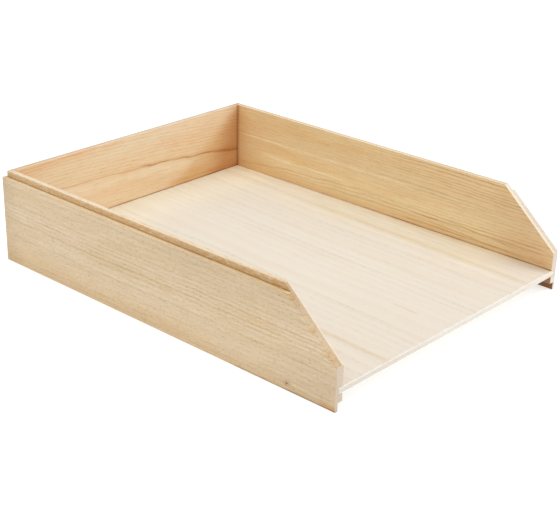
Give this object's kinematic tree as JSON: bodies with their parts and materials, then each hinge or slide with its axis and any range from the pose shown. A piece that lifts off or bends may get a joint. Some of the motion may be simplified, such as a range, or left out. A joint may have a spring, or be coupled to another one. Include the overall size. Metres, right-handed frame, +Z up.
{
  "type": "letter tray",
  "caption": "Stackable open-front letter tray in pale wood: low boards on the sides and back, sloped front corners and a thin floor for loose A4 paper.",
  "frame": {"origin": "centre of the tray's footprint, on the surface it stands on", "axes": "+Y runs along the depth, from the open front to the back board, +X across the width to the right as seen from the front, and +Z up"},
  "size_m": [0.246, 0.32, 0.0705],
  "materials": {
    "side_boards": "bare, sanded",
    "back_board": "bare, sanded",
    "face_ply": "bare, sanded",
    "core_ply": "bare, sanded"
  },
  "bodies": {
    "root": {"left_side_board": "side_boards", "right_side_board": "side_boards", "back_board": "back_board", "floor_top_ply": "face_ply", "floor_core_ply": "core_ply", "floor_bottom_ply": "face_ply"}
  },
  "joints": []
}
